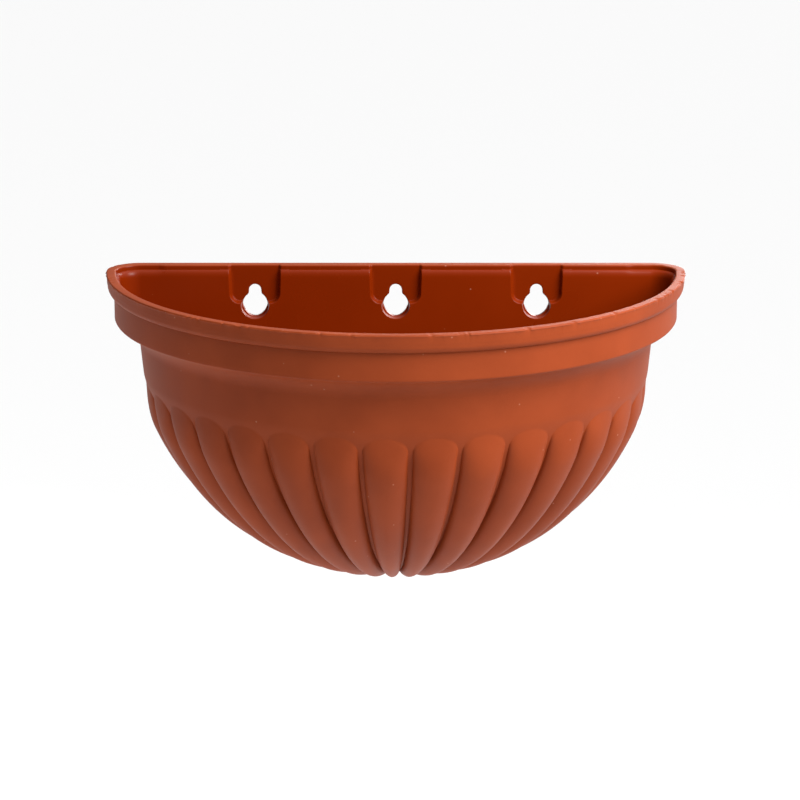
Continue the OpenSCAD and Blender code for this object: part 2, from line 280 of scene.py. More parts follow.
places, outs = rim_path(RIM_FRONT_STEPS, RIM_CORNER_STEPS, RIM_BACK_STEPS)
along = np.concatenate([[0], np.cumsum(np.linalg.norm(np.diff(places, axis=0), axis=1))])
rng = np.random.default_rng(7)
nicks = [(rng.uniform(0, along[-1]), rng.uniform(*NICK_W), rng.uniform(-NICK_H, NICK_H)) for _ in range(NICKS)]
edge_flash = flash(along, nicks)
facing_front = 1 - np.clip(outs[:, 1], 0, 1)
trim = FACE_INSET * facing_front
bulge = np.minimum(edge_flash, trim - RIDGE)
chip = np.clip(-CHIP_GAIN * edge_flash, 0, CHIP_DEEP) * facing_front
print("along", round(along[-1]), "mm of rim the deepest chip is", round(chip.max(), 2), "mm")

# %% [markdown]
# ## Sweep the rim
# Each point of the section now becomes one ring round the D. The ridge follows the ripples, the
# rounded outer edge takes the chips, and the inner side takes the shift of the straight back.
# The inner side also gets the smoother finish of the inside.

# %% Sweep the section round the D
LINE_REACH = 0.2    # how far from the parting line its ripples still show
CHIP_INWARD = 0.5
LIP_INSIDE = 5      # rows of the inner round that still belong to the matte lip
edge_start = len(face_side)
inner_start = edge_start + len(outer_round) + 1
inner_end = inner_start + len(inner_side)
inner_shift = back_shift(places[:, 0], outs[:, 1])
rim_points = []
for n, (inset, z) in enumerate(rim_section):
    near_line = math.exp(-(((z - SPLIT_Z) / LINE_REACH) ** 2)) if inset < LINE_REACH else 0.0
    depth = inset + trim * max(0.0, 1 - inset / BAND_STEP) - near_line * bulge
    if inner_start <= n < inner_end:
        depth = depth + inner_shift * min(1.0, (inset - LIP_W / 2) / (LIP_W / 2 - LIP_ROUND))
    chipped = chip if edge_start <= n < inner_start - 1 else np.zeros_like(chip)
    flat = places - outs * (depth + CHIP_INWARD * chipped)[:, None]
    rim_points.append(np.column_stack([flat, z - chipped]))
rim_points.append(rim_points[0])
rim_faces = grid_faces(len(rim_points), len(places), wrap=True, flip=True)
rim = make_piece("rim", np.concatenate(rim_points), rim_faces, ["rim_front", "rim_back"])
for face in rim.data.polygons:
    face.material_index = int(inner_start + LIP_INSIDE <= face.index // len(places) < inner_end)

# %% [markdown]
# ## Level rows with round back corners
# Below the lip, the section changes with height, and each back corner gets smaller on its way
# in to the neck. So this piece is a loft: each row is a level outline with a front arc of one
# radius, two corner arcs, and short straight tabs that lie in the plane of the back plate.

# %% One level row
CORNER_STEPS = 14


def level_row(radius, corner, back, z, tab_x, front_steps):
    """A level outline from the left tab round the front to the right tab."""
    turn = math.asin((back + corner - AXIS_GAP) / (radius - corner))
    x = (radius - corner) * math.cos(turn)
    right = []
    for b in np.linspace(-turn, math.pi / 2, CORNER_STEPS + 1)[1:]:
        right.append((x + corner * math.cos(b), -back - corner + corner * math.sin(b), z))
    right.append((tab_x, -back, z))
    front = []
    for a in np.linspace(turn - math.pi / 2, math.pi / 2 - turn, front_steps + 1):
        front.append((radius * math.sin(a), -AXIS_GAP - radius * math.cos(a), z))
    left = [(-x, y, z) for x, y, z in reversed(right)]
    return left + front + right


def loft(name, outer, inner, nodes):
    """A shell between an outer and an inner list of rows, closed at its bottom, top and side edges."""
    cols = len(outer[0])
    total = len(outer) + len(inner)
    points = np.array(outer + inner[::-1], float).reshape(-1, 3)
    faces = grid_faces(total, cols, flip=True)
    top = (total - 1) * cols
    faces += [(j + 1, top + j + 1, top + j, j) for j in range(cols - 1)]
    for j, turned in ((0, True), (cols - 1, False)):
        for i in range(min(len(outer), len(inner)) - 1):
            quad = (i * cols + j, (i + 1) * cols + j, (total - 2 - i) * cols + j, (total - 1 - i) * cols + j)
            faces.append(quad[::-1] if turned else quad)
    return make_piece(name, points, faces, nodes, inner_from=len(outer) * cols)


print("each back corner has", CORNER_STEPS, "steps")

# %% [markdown]
# ## The outline of the lower band and the hollow under it
# Under the upper band the wall steps in by 3 mm and stands upright down to a crisp edge. From
# there it turns in to the neck over a hollow quarter round. The inside follows at one wall's
# thickness, below a small ledge that runs round the mouth.

# %% Sizes of the lower band
WALL = 2.4
LOWER_BAND_H = 10.5
BAND_EDGE = 0.8
COVE_R = 9.15
NECK_LEAN = math.radians(5.7)
LEDGE_TOP = 1.8
LEDGE_H = 2.7
PANEL_BACK = BAND_STEP              # the back plate's faces, from the wall plane
PANEL_FRONT = BAND_STEP + WALL
BAND_R = FRONT_R - BAND_STEP
LOWER_EDGE = BAND_H + LOWER_BAND_H
NECK_R = BAND_R - COVE_R * math.cos(NECK_LEAN)
NECK_TOP = LOWER_EDGE + COVE_R - COVE_R * math.sin(NECK_LEAN)
BODY_CORNER = AXIS_GAP - PANEL_BACK
TAB = 1.5
TAB_X = NECK_R - BODY_CORNER - TAB
print("lower edge at z", -LOWER_EDGE, "and neck from z", round(-NECK_TOP, 2), "with radius", round(NECK_R, 2))


def cove_corner(radius):
    """Corner radius that fits a front radius: large under the lip and small at the neck."""
    share = min(1.0, max(0.0, (BAND_R - radius) / (BAND_R - NECK_R)))
    return (CORNER_R - BAND_STEP) * (1 - share) + BODY_CORNER * share


def hollow(radius, start, steps):
    """Points of the hollow round between a turn under the edge and the neck's line."""
    turns = np.linspace(start, math.pi / 2 - NECK_LEAN, steps)
    return [(BAND_R - radius * math.sin(b), -LOWER_EDGE - COVE_R + radius * math.cos(b)) for b in turns]


# %% Rows of the lower band
BAND_FRONT_STEPS = 300
TUCK = 0.4          # how far the lower band reaches up into the upper one
OUTER_UPRIGHT_ROWS, INNER_UPRIGHT_ROWS = 8, 5
OUTER_HOLLOW_ROWS, INNER_HOLLOW_ROWS = 18, 14
EDGE_STEPS = 6
EDGE_TURN = -80     # degrees
LEDGE_STEPS = 8
LEAST_CORNER = 0.1

heights = np.linspace(-BAND_H + TUCK, -LOWER_EDGE + BAND_EDGE, OUTER_UPRIGHT_ROWS, endpoint=False)
upright = [(BAND_R, z) for z in heights]
round_edge = arc((BAND_R - BAND_EDGE, BAND_EDGE - LOWER_EDGE), (BAND_EDGE, BAND_EDGE), 0, EDGE_TURN, EDGE_STEPS)
outer_profile = upright + round_edge + hollow(COVE_R, math.asin(BAND_EDGE / COVE_R), OUTER_HOLLOW_ROWS)
inner_cove = hollow(COVE_R + WALL, math.asin(WALL / (COVE_R + WALL)), INNER_HOLLOW_ROWS)
ledge = arc((LIP_W, -LEDGE_TOP - LEDGE_H), (PANEL_FRONT - LIP_W, LEDGE_H), 90, 0, LEDGE_STEPS)
inner_profile = [(FRONT_R - LIP_W, SEAM_Z), (FRONT_R - LIP_W, -LEDGE_TOP)]
inner_profile += [(FRONT_R - inset, z) for inset, z in ledge[1:]]
heights = np.linspace(inner_profile[-1][1], inner_cove[0][1], INNER_UPRIGHT_ROWS + 2)[1:-1]
inner_profile += [(BAND_R - WALL, z) for z in heights]
inner_profile += inner_cove[:-1] + [(NECK_R - WALL, -NECK_TOP)]

outer_rows = [level_row(r, cove_corner(r), PANEL_BACK, z, TAB_X, BAND_FRONT_STEPS) for r, z in outer_profile]
inner_rows = []
for r, z in inner_profile:
    inset = min(FRONT_R - r, PANEL_FRONT)
    corner = max(CORNER_R - inset, LEAST_CORNER) if FRONT_R - r <= PANEL_FRONT else cove_corner(r + WALL) - WALL
    inner_rows.append(level_row(r, corner, inset, z, TAB_X, BAND_FRONT_STEPS))
print("rows of the lower band:", len(outer_rows), "outside and", len(inner_rows), "inside")
lower_band = loft("lower_band", outer_rows, inner_rows, ["rim_cove"])

# %% [markdown]
# ## The form of the neck and the fluted bowl
# The lobes are the hard part of this planter. Their crests lie on a slightly leaning neck that
# rolls over into a deep round bowl, and the grooves between them sink inside that surface. It
# could be sculpted, or cut by booleans, but one formula keeps every lobe alike: a distance from
# the middle of the mouth for each direction. The grooves start from nothing under the neck and
# are deepest well down the bowl. There the lobes are also rounder, while at their arches they
# are flat pillows.

# %% Sizes of the bowl
POT_H = 115.0
BOWL_FULL = 2.17        # exponent of the bowl's outline: 2 would be an ellipse
SHOULDER_DROP = 52.5    # where the neck's line meets that outline
CREST_BLEND = 1.5
LOBE_COUNT = 33         # on a full circle
LOBE_TURN = -2.25       # angle of the middle lobe's crest, in degrees
GROOVE_A = 1.0          # width of a groove's floor, in degrees
PITCH_A = 360.0 / LOBE_COUNT
LOBE_HALF = (PITCH_A - GROOVE_A) / 2
SHOULDER_R = NECK_R - (SHOULDER_DROP - NECK_TOP) * math.tan(NECK_LEAN)
BOWL_W = SHOULDER_R / (1 - (SHOULDER_DROP / POT_H) ** BOWL_FULL) ** (1 / BOWL_FULL)
NECK_MID = NECK_R + NECK_TOP * math.tan(NECK_LEAN)
print("the bowl's outline is", round(2 * BOWL_W, 1), "mm wide at the rim's level")


def soft_min(a, b, k):
    """The smaller of two lengths, with a round blend where they cross."""
    return np.minimum(a, b) - np.maximum(k - np.abs(a - b), 0) ** 2 / (4 * k)


def crest_ray(t):
    """Distance from the middle of the mouth to the crests, on a ray turned down by t radians."""
    down, level = np.maximum(np.sin(t), 0) / POT_H, np.maximum(np.cos(t), 0) / BOWL_W
    bowl = (down ** BOWL_FULL + level ** BOWL_FULL) ** (-1 / BOWL_FULL)
    return soft_min(bowl, NECK_MID / (np.cos(t) + np.sin(t) * math.tan(NECK_LEAN)), CREST_BLEND)


# %% The relief of the lobes
ARCH_TOP = 40.5         # top of the arches, below the rim's top
ARCH_H = 6.5
ARCH_FULL = 2.1         # exponent of the arches' outline
PLAIN_STRIP = 3.7
LOBE_H = 3.5            # height of a lobe near its arch
LOBE_GAIN = 1.6         # what it gains on the way down
GAIN_RUN = 40.0
LOBE_SLIM = 0.55        # no lobe is higher than this share of its width
SLIM_BLEND = 1.0
GROOVE_RUN = 18.0       # depth over which a groove comes up to its full height
BOTTOM_FADE = 12.0
ROUND_TOP = 2.2         # exponents of a lobe's section, near its arch and low on the bowl
ROUND_LOW = 1.75
INNER_SHARE = 0.7
ARCH_FOOT = ARCH_TOP + ARCH_H
NECK_END = ARCH_TOP - PLAIN_STRIP


def way_down(t):
    """Share of the way from the lobes' arches to where they are at their deepest."""
    return ease((crest_ray(t) * np.sin(t) - ARCH_FOOT) / GAIN_RUN)


def relief(t):
    """Depth of the grooves on a ray: it grows below the shoulder and fades where the lobes get narrow."""
    level = crest_ray(t) * np.cos(t)
    depth = crest_ray(t) * np.sin(t)
    slim = LOBE_SLIM * level * math.radians(PITCH_A)
    full = soft_min(LOBE_H + LOBE_GAIN * way_down(t), slim, SLIM_BLEND)
    return full * ease(level / BOTTOM_FADE) * ease((depth - NECK_END) / GROOVE_RUN)


def across(a):
    """Place across a lobe at an angle in degrees: 0 on its crest, 1 at its edge."""
    d = a - LOBE_TURN
    return (d - np.round(d / PITCH_A) * PITCH_A) / LOBE_HALF


def skin(a, t, inside):
    """Distance out and height of the skin at angle a (degrees) on ray t (radians)."""
    crest = crest_ray(t)
    up = np.maximum(0, (ARCH_FOOT - crest * np.sin(t)) / ARCH_H)
    q = np.minimum(1.0, (np.abs(across(a)) ** ARCH_FULL + up ** ARCH_FULL) ** (1 / ARCH_FULL))
    flank = ROUND_TOP + (ROUND_LOW - ROUND_TOP) * way_down(t)
    lobe = INNER_SHARE * (1 - q * q) if inside else np.sqrt(1 - q ** flank)
    p = crest - relief(t) * (1 - lobe)
    return p * np.cos(t), -p * np.sin(t)


print("deepest groove:", round(float(relief(np.linspace(0.3, 1.5, 200)).max()), 2), "mm")

# %% [markdown]
# ## The grid of the bowl
# A plain grid would cut across the arched tops and leave them jagged. Here the rows of each
# column follow the arch of its lobe, and the columns crowd together at the steep sides. So the
# edges stay crisp without a huge mesh.

# %% Columns and rows of the bowl
LOBE_STEPS = 22
NECK_ROWS, STRIP_ROWS, ARCH_ROWS, BOWL_ROWS = 6, 8, 14, 64
ROW_GAP = 0.12      # least distance between the rows where an arch runs out
FOOT_GAP = 0.6
SIDE_MARGIN = 0.15  # degrees
FIRST_RAY = 0.3     # radians
CORRECTIONS = 14

steps = [LOBE_HALF * math.sin(s) for s in np.linspace(-math.pi / 2, math.pi / 2, LOBE_STEPS + 1)]
steps += [LOBE_HALF + GROOVE_A / 3, LOBE_HALF + 2 * GROOVE_A / 3]
reach = LOBE_COUNT // 4 + 1
lobe_angles = [LOBE_TURN + k * PITCH_A + s for k in range(-reach, reach + 1) for s in steps]
columns = np.array([-90.0] + [a for a in lobe_angles if abs(a) < 90 - SIDE_MARGIN] + [90.0])


def ray_at(depth):
    """Ray that meets the floor of the grooves at a depth, by a few corrections of a first guess."""
    t = np.full_like(depth, FIRST_RAY)
    for _ in range(CORRECTIONS):
        t = np.arcsin(np.clip(depth / (crest_ray(t) - relief(t)), -1, 1))
    return t


def column_rays(a):
    """Rays of all the rows of one column. The rows of the arches follow their outline."""
    rise = ARCH_H * max(0.0, 1 - abs(across(a)) ** ARCH_FULL) ** (1 / ARCH_FULL)
    depths = list(np.linspace(NECK_TOP, NECK_END, NECK_ROWS, endpoint=False))
    depths += list(np.linspace(NECK_END, ARCH_FOOT - rise, STRIP_ROWS, endpoint=False))
    for k, s in enumerate(np.cos(np.linspace(0, math.pi / 2, ARCH_ROWS))):
        depths.append(ARCH_FOOT - rise * s + ROW_GAP * k)
    foot = float(ray_at(np.array([ARCH_FOOT + ROW_GAP * ARCH_ROWS + FOOT_GAP]))[0])
    return np.concatenate([ray_at(np.array(depths)), np.linspace(foot, math.pi / 2, BOWL_ROWS)])


rays = np.array([column_rays(a) for a in columns]).T
print("bowl grid:", rays.shape[0], "rows of", rays.shape[1], "columns")

# %% [markdown]
# ## The body
# The inside is the same formula with a softer relief, set in by the wall's thickness: level at
# the neck, and square to the surface in the bowl. At the back both skins turn round a small
# corner into tabs in the plane of the back plate, which hide its edge.

# %% Make the body
TOP_RAY = float(rays[:, 0].min())
WALL_TURN = math.radians(30)
BODY_CORNER_STEPS = 8


def wall_dir(t):
    """Direction of the wall's thickness: level at the neck, square to the bowl below."""
    b = t * ease((t - TOP_RAY) / WALL_TURN)
    return np.cos(b), -np.sin(b)


def body_rows(inside):
    """Rows of one skin of the body with its back corners and the tabs in the back plate's plane."""
    angle = np.radians(columns)[None, :]
    out, height = skin(columns[None, :], rays, inside)
    dx, dz = wall_dir(rays)
    thick = WALL if inside else 0.0
    out, height = out - thick * dx, height - thick * dz
    front = np.stack([out * np.sin(angle), -AXIS_GAP - out * np.cos(angle), height], axis=-1)
    side_t = rays[:, -1]
    nx, nz = wall_dir(side_t)
    own = np.array(skin(90.0, side_t, inside))
    shared = np.array(skin(90.0, side_t, False))
    radius = BODY_CORNER - thick
    right = []
    for turn in np.linspace(0, math.pi / 2, BODY_CORNER_STEPS + 1)[1:]:
        share = turn / (math.pi / 2)
        side = own * (1 - share) + shared * share
        sink = BODY_CORNER - radius * math.cos(turn)
        y = np.full_like(side_t, -AXIS_GAP + radius * math.sin(turn))
        right.append(np.stack([side[0] - sink * nx, y, side[1] - sink * nz], axis=-1))
    x, z = shared[0] - (BODY_CORNER + TAB) * nx, shared[1] - (BODY_CORNER + TAB) * nz
    right.append(np.stack([np.maximum(x, 0), y, z], axis=-1))
    right = np.stack(right, axis=1)
    left = right[:, ::-1] * (-1, 1, 1)
    return np.concatenate([left, front, right], axis=1)


outer_body, inner_body = body_rows(False), body_rows(True)
body = loft("fluted_body", list(outer_body), list(inner_body), ["fluted_bowl", "neck_band"])

# %% [markdown]
# ## Drain holes
# A planter of this kind lets its water out through small round holes near the lowest point.
# They go through both skins, so a boolean with a round tool is the plain way to cut them. At
# the bottom point the grid's faces are thin slivers, and there the solver can take the tool's
# free end for a part of the wall. So what it leaves at the height of that end is taken away.

# %% A drilling tool
DRAIN_R = 2.0
DRAIN_SIDES = 48
TOOL_TOP, TOOL_END = -99.0, -116.0      # heights of its two ends


def drill(piece, holes):
    """Cut upright round holes through the bottom of a piece, all with one tool."""
    turns = np.linspace(0, 2 * math.pi, DRAIN_SIDES, endpoint=False)
    tube = grid_faces(2, DRAIN_SIDES, wrap=True, flip=True)
    tube += [tuple(range(DRAIN_SIDES)), tuple(range(2 * DRAIN_SIDES - 1, DRAIN_SIDES - 1, -1))]
    points, faces = [], []
    for x, y in holes:
        faces += [tuple(len(points) + i for i in face) for face in tube]
        points += [(x + DRAIN_R * math.cos(b), y + DRAIN_R * math.sin(b), z)
                   for z in (TOOL_TOP, TOOL_END) for b in turns]
    tool_mesh = bpy.data.meshes.new("drill")
    tool_mesh.from_pydata(to_row(points).tolist(), [], faces)
    tool = bpy.data.objects.new("drill", tool_mesh)
    bpy.context.scene.collection.objects.link(tool)
    cut = piece.modifiers.new("drill", "BOOLEAN")
    cut.operation, cut.object, cut.solver = "DIFFERENCE", tool, "EXACT"
    bpy.context.view_layer.update()
    drilled = bpy.data.meshes.new_from_object(piece.evaluated_get(bpy.context.evaluated_depsgraph_get()))
    piece.modifiers.clear()
    old, piece.data = piece.data, drilled
    bpy.data.objects.remove(tool)
    for mesh in (old, tool_mesh):
        bpy.data.meshes.remove(mesh)


# %% Drill the drain holes
DRAIN_OUT = 14.0        # from the bottom point
DRAIN_TURN = math.radians(45)
SAME_LEVEL = 1e-6       # metres


def clear_level(piece, z):
    """Take away the faces of a piece that touch one level, given in drawing millimetres."""
    level = to_row((0, 0, z))[0, 2]
    shell = bmesh.new()
    shell.from_mesh(piece.data)
    touching = [f for f in shell.faces if any(abs(v.co.z - level) < SAME_LEVEL for v in f.verts)]
    bmesh.ops.delete(shell, geom=touching, context="FACES")
    shell.to_mesh(piece.data)
    shell.free()
    return len(touching)


before = len(body.data.vertices)
drill(body, [(side * DRAIN_OUT * math.sin(DRAIN_TURN), -AXIS_GAP - DRAIN_OUT * math.cos(DRAIN_TURN))
             for side in (-1, 1)])
print("faces of the tool's free end taken away:", clear_level(body, TOOL_TOP))
print("drilled:", before, "points became", len(body.data.vertices))

# %% [markdown]
# ## The shape of the back plate
# The flat back is a plate whose front face has a soft ledge under the rim and three sunk pockets
# round the keyholes. All of it is a depth for each place on the plate, so it is written as one
# function: the ledge is a quarter ellipse, and a pocket sinks by its distance from an outline.
# Behind each pocket stands a boss, as a moulded wall of even thickness has it. A keyhole is a
# round entry, a little narrower in its lower half, and a slot that widens down to it.

# %% Distances to the outlines of a pocket and a keyhole
HANGER_DROP = 15.2
POCKET_CORNER = 2.8
ENTRY_R = 4.65
ENTRY_TIGHT = 0.07      # share of its radius that the entry loses in its lower half
TIGHT_IN, TIGHT_OUT = 4.0, 1.25     # how fast it does so below the middle and stops at the bottom
ENTRY_RIM = 0.1
SLOT_R = 2.3
SLOT_FOOT_R = 2.7
SLOT_RISE = 5.4
KEYHOLE_FILL = 0.5


def tongue_gap(x, z):
    """Distance outside the pocket's floor, which is open upward and has round lower corners."""
    half = pocket_half(z) - POCKET_CORNER
    qx = np.abs(x) - half
    qz = -POCKET_DROP + POCKET_CORNER - z
    return np.hypot(np.maximum(qx, 0), np.maximum(qz, 0)) + np.minimum(np.maximum(qx, qz), 0) - POCKET_CORNER


def entry_gap(x, z):
    """Distance outside the round floor that follows the entry hole."""
    return np.hypot(x, z + HANGER_DROP) - ENTRY_R - ENTRY_RIM


def keyhole_gap(x, z):
    """Distance outside the keyhole, with its inner corners slightly filled."""
    below = -(z + HANGER_DROP) / ENTRY_R
    tight = np.clip(TIGHT_IN * below, 0, 1) * np.clip(TIGHT_OUT * (1 - below ** 4), 0, 1)
    entry = np.hypot(x, z + HANGER_DROP) - ENTRY_R * (1 - ENTRY_TIGHT * tight)
    top = -HANGER_DROP + SLOT_RISE
    along_slot = np.clip(z, -HANGER_DROP, top)
    foot = (top - along_slot) / SLOT_RISE
    slot = np.hypot(x, z - along_slot) - SLOT_R - (SLOT_FOOT_R - SLOT_R) * foot
    return soft_min(entry, slot, KEYHOLE_FILL)


print("a keyhole is", 2 * ENTRY_R, "mm wide and", round(ENTRY_R + SLOT_RISE + SLOT_R, 2), "mm high")

# %% Depths of the plate's faces
PAD_BACK = 1.0      # back of a boss, from the wall plane
BOSS_SLOPE = 0.8
ENTRY_SLOPE = 0.6


def ledge_depth(z, x=0.0):
    """Depth of the plate's front face: the rim's inner face, the soft ledge and the flat below."""
    down = np.clip((-LEDGE_TOP - z) / LEDGE_H, 0, 1)
    return back_lip(x) + (PANEL_FRONT - back_lip(x)) * np.sqrt(1 - (1 - down) ** 2)


def front_depth(x, z):
    """Depth of the plate's front face with a pocket whose middle is at x = 0."""
    rise = np.minimum(ease(tongue_gap(x, z) / POCKET_SLOPE), ease(entry_gap(x, z) / ENTRY_SLOPE))
    return POCKET_FLOOR + (ledge_depth(z) - POCKET_FLOOR) * rise


def back_depth(x, z):
    """Depth of the plate's back face, with the boss that backs a pocket."""
    grow = np.minimum(tongue_gap(x, z), entry_gap(x, z)) - WALL
    return PAD_BACK + (PANEL_BACK - PAD_BACK) * ease(grow / BOSS_SLOPE + 0.5)


print("the pocket's wall is", round(POCKET_FLOOR - PAD_BACK, 2), "mm thick")

# %% [markdown]
# ## The back plate
# Both faces of the plate are grids, with rows that are close together on the ledge. Each pad is
# a mesh of its own, so the grid leaves out a window there, which is open at the plate's top,
# where the pocket runs on into the rim. The window's other edges lie where the plate is plain,
# so the seam can't be seen.

# %% Rows, columns and windows of the plate
PLATE_STEP = 1.0
FLAT_TOP, FLAT_STEP = -6.5, 1.5
WINDOW_X = 13.0
WINDOW_Z = -26.0
WINDOW_SLACK = 0.01     # so that a column on a window's edge counts as outside
ledge_z = [-LEDGE_TOP - LEDGE_H * (1 - math.cos(b)) for b in np.linspace(0, math.pi / 2, LEDGE_STEPS + 1)]
plate_z = [SEAM_Z] + ledge_z + list(np.arange(FLAT_TOP, WINDOW_Z - 0.1, -FLAT_STEP)[:-1]) + [WINDOW_Z]
side = outer_body[:, -1]
lower = [(x, z) for x, z in zip(side[:, 0], side[:, 2]) if z < WINDOW_Z - PLATE_STEP]
plate_rows = [(TAB_X, z) for z in plate_z] + lower[::2] + [lower[-1]]
window_edges = [k * HANGER_PITCH + s * WINDOW_X for k in HANGERS for s in (-1, 1)]


def plate_columns():
    """Shares of the half width for each column, with a column on every edge of a window."""
    stops = [-TAB_X] + window_edges + [TAB_X]
    xs = []
    for a, b in zip(stops, stops[1:]):
        xs += spread(a, b, max(1, round((b - a) / PLATE_STEP)))
    return np.array(xs + [TAB_X]) / TAB_X


plate_shares = plate_columns()
in_window = np.zeros(len(plate_shares), bool)
for k in HANGERS:
    in_window |= np.abs(plate_shares * TAB_X - k * HANGER_PITCH) < WINDOW_X - WINDOW_SLACK
starts_window = in_window[:-1] | in_window[1:]
window_rows = len(plate_z) - 1
print("plate grid:", len(plate_rows), "rows of", len(plate_shares), "columns, with windows in", window_rows, "rows")

# %% Make the plate
plate_front, plate_behind = [], []
for half_x, z in plate_rows:
    x = plate_shares * half_x
    plate_front += list(zip(x, -ledge_depth(np.full_like(x, z), x), np.full_like(x, z)))
    plate_behind += list(zip(x, np.full_like(x, -PANEL_BACK), np.full_like(x, z)))
n_rows, n_cols = len(plate_rows), len(plate_shares)
behind = n_rows * n_cols


def plate_faces(flip):
    """Grid faces of the plate without the windows of the pads."""
    faces = []
    for i in range(n_rows - 1):
        for j in range(n_cols - 1):
            if i < window_rows and starts_window[j]:
                continue
            quad = (i * n_cols + j, i * n_cols + j + 1, (i + 1) * n_cols + j + 1, (i + 1) * n_cols + j)
            faces.append(quad[::-1] if flip else quad)
    return faces


faces = plate_faces(True) + [tuple(v + behind for v in f) for f in plate_faces(False)]
edge = [i * n_cols for i in range(n_rows)]
edge += [(n_rows - 1) * n_cols + j for j in range(1, n_cols)]
edge += [i * n_cols + n_cols - 1 for i in range(n_rows - 2, -1, -1)]
edge += [j for j in range(n_cols - 2, 0, -1)]
for a, b in zip(edge, edge[1:] + edge[:1]):
    on_top = max(a, b) < n_cols
    if not on_top or not starts_window[min(a, b)]:
        faces.append((a, b, b + behind, a + behind))
back_plate = make_piece("back_plate", plate_front + plate_behind, faces, ["back_panel"],
                        inner_from=behind)

# %% [markdown]
# ## The keyhole pads
# A pad is a ring-shaped mesh round its keyhole. Rings of points run from the hole's edge over
# the pocket's floor, up its border and out to the window of the plate, and again behind. Every
# ring is found by walking out from one centre until a distance function says stop, so a ring
# lies on each edge that matters, and the same steps serve the front and the back.

# %% Walk out from the middle of a pad
PAD_SPOKES = 288
PAD_CENTRE_Z = -13.6
FARTHEST = 40.0
HALVINGS = 40
HOLE_MARGIN = 0.35      # what a ring keeps from the hole and from the window
WINDOW_MARGIN = 0.6
SPREAD_MARGIN = 0.5
spoke_angles = np.linspace(0, 2 * math.pi, PAD_SPOKES, endpoint=False)
spoke_x, spoke_z = np.cos(spoke_angles), np.sin(spoke_angles)


def reach_of(gap):
    """How far each spoke runs before a distance function turns positive, by halving the span."""
    near, away = np.zeros(PAD_SPOKES), np.full(PAD_SPOKES, FARTHEST)
    for _ in range(HALVINGS):
        middle = (near + away) / 2
        outside = gap(spoke_x * middle, PAD_CENTRE_Z + spoke_z * middle) > 0
        near, away = np.where(outside, near, middle), np.where(outside, middle, away)
    return near


def window_gap(x, z):
    """Distance outside the rectangular window of the plate."""
    return np.maximum(np.abs(x) - WINDOW_X, np.maximum(z - SEAM_Z, WINDOW_Z - z))


hole_reach = reach_of(keyhole_gap)
window_reach = reach_of(window_gap)


def outline_reach(grow, share):
    """Spokes to the pocket's outline grown by a length, kept between the hole and the window.
    The share runs from 0 to 1 outward, so that rings never cross where they are held back."""
    found = reach_of(lambda x, z: np.minimum(tongue_gap(x, z), entry_gap(x, z)) - grow)
    outward = SPREAD_MARGIN * share
    return np.clip(found, hole_reach + HOLE_MARGIN + outward, window_reach - WINDOW_MARGIN + outward)


print("spokes to the keyhole:", round(hole_reach.min(), 2), "to", round(hole_reach.max(), 2), "mm")

# %% Rings of a pad
EDGE_ROUND = 0.25
ROUND_RINGS = 5
SLOPE_RINGS, PLAIN_RINGS, FLOOR_RINGS = 9, 16, 6
BOSS_RINGS = 7


def ring(reach, depth):
    """Points of a ring from its spokes, at depths that a function or a number gives."""
    x, z = spoke_x * reach, PAD_CENTRE_Z + spoke_z * reach
    y = -depth(x, z) if callable(depth) else np.full_like(x, -depth)
    return np.column_stack([x, y, z])


def front_rings():
    """Rings from the window in over the border and the floor of the pocket, and round the hole's edge."""
    slopes = [outline_reach(POCKET_SLOPE * s, s) for s in np.linspace(0, 1, SLOPE_RINGS)]
    plain = [slopes[-1] + (window_reach - slopes[-1]) * s for s in np.linspace(1, 0, PLAIN_RINGS, endpoint=False)]
    floor = [slopes[0] + (hole_reach + EDGE_ROUND - slopes[0]) * s for s in np.linspace(0, 1, FLOOR_RINGS + 1)[1:]]
    rings = [ring(r, front_depth) for r in plain + slopes[::-1] + floor]
    for b in np.linspace(0, math.pi / 2, ROUND_RINGS)[1:]:
        reach = hole_reach + EDGE_ROUND * (1 - math.sin(b))
        rings.append(ring(reach, POCKET_FLOOR - EDGE_ROUND * (1 - math.cos(b))))
    return rings


def back_rings():
    """Rings round the hole's back edge, over the boss and out to the window."""
    rings = []
    for b in np.linspace(math.pi / 2, 0, ROUND_RINGS):
        reach = hole_reach + EDGE_ROUND * (1 - math.sin(b))
        rings.append(ring(reach, PAD_BACK + EDGE_ROUND * (1 - math.cos(b))))
    boss = [outline_reach(WALL + BOSS_SLOPE * (s - 0.5), s) for s in np.linspace(0, 1, BOSS_RINGS)]
    plain = [boss[-1] + (window_reach - boss[-1]) * s for s in (0.33, 0.66, 1.0)]
    return rings + [ring(r, back_depth) for r in boss + plain]


# %% Make the three pads
pad_front, pad_behind = front_rings(), back_rings()
pad = np.array(pad_front + pad_behind)
pad_faces = grid_faces(len(pad), PAD_SPOKES, wrap=True, flip=True)
last = (len(pad) - 1) * PAD_SPOKES
pad_faces += [(last + j, last + (j + 1) % PAD_SPOKES, (j + 1) % PAD_SPOKES, j) for j in range(PAD_SPOKES)]
pads = []
for k, name in zip(HANGERS, ("left", "middle", "right")):
    moved = pad.reshape(-1, 3) + (k * HANGER_PITCH, 0, 0)
    pads.append(make_piece("keyhole_pad_" + name, moved, pad_faces, ["hanger_" + name],
                           inner_from=len(pad_front) * PAD_SPOKES))

# %% [markdown]
# ## Terracotta plastic
# The moulding has two finishes. Outside it is matte and slightly chalky, with cloudy changes of
# tone. The inside is smoother and glossier, and reads as a deeper red-brown. Both come from one
# function: a base colour that noise moves a little, a roughness that goes with it, and a fine
# bump. A few pale dust specks lie on it: cells of a Voronoi pattern, of which only some are
# chosen, and only their middles show. The pattern is fixed to the object, so it stays in place
# from every side.

# %% Helpers for node trees


